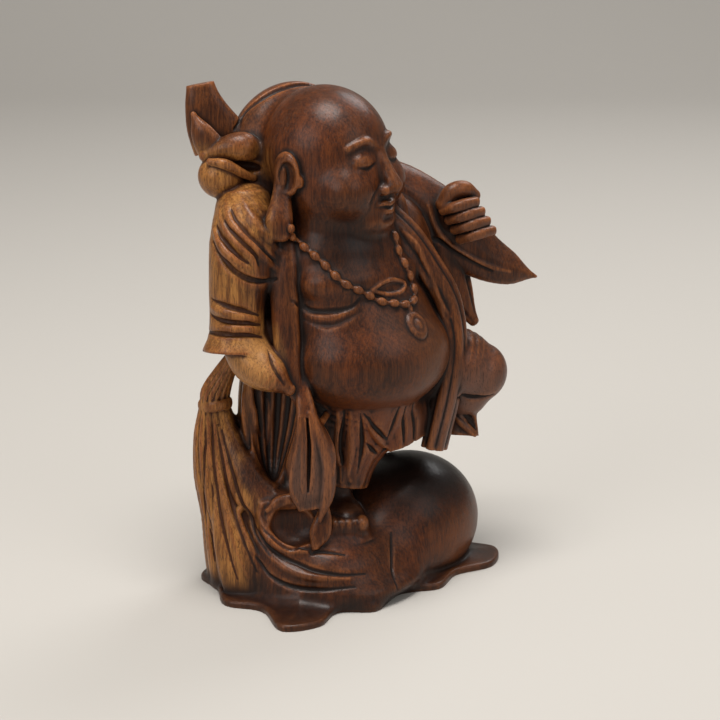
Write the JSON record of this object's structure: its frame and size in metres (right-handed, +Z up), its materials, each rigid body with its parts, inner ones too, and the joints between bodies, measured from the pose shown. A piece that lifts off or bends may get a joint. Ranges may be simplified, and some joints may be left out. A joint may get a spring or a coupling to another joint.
{
  "type": "wood carving of a standing budai",
  "caption": "Carved wooden figure of a stout, calm monk standing on his sack on a wavy base, with a bundle held over his shoulder.",
  "frame": {"origin": "middle of the base's flat underside", "axes": "+Z up, -Y the way the chest faces, +X the figure's left, where the raised knee is"},
  "size_m": [0.205, 0.1295, 0.2963],
  "materials": {
    "carved_wood": "dark reddish-brown heartwood with golden sapwood, waxed to a satin sheen"
  },
  "bodies": {
    "root": {"budai_figure": "carved_wood"}
  },
  "joints": []
}
